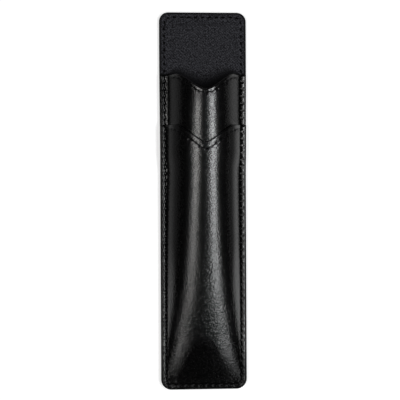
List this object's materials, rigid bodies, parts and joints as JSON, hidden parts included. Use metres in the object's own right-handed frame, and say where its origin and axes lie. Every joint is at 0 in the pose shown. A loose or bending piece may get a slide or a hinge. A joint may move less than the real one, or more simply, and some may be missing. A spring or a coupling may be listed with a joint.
{
  "type": "single pen sleeve",
  "caption": "Sewn leather sleeve for one pen: flat lined back with a tab above the mouth, and a moulded front in two lapped panels with V-shaped edges.",
  "frame": {"origin": "middle of the back face, on which the sleeve lies", "axes": "+X to the right seen from the front, +Y along the pen towards the tab and the mouth, +Z out of the front"},
  "size_m": [0.0376, 0.165, 0.0156],
  "materials": {
    "leather": "black, smooth with a fine grain, semi-gloss",
    "lining": "charcoal twill weave, matte",
    "thread": "black waxed thread",
    "leatherboard": "pressed leather fibre board, unfinished"
  },
  "bodies": {
    "root": {"back_panel": "leather", "back_stiffener": "leatherboard", "back_lining": "lining", "front_lining": "lining", "front_upper_panel": "leather", "front_lower_panel": "leather", "perimeter_front_stitches": "thread", "perimeter_back_stitches": "thread", "mouth_front_stitches": "thread", "mouth_inside_stitches": "thread", "lap_front_stitches": "thread", "lap_inside_stitches": "thread"}
  },
  "joints": []
}
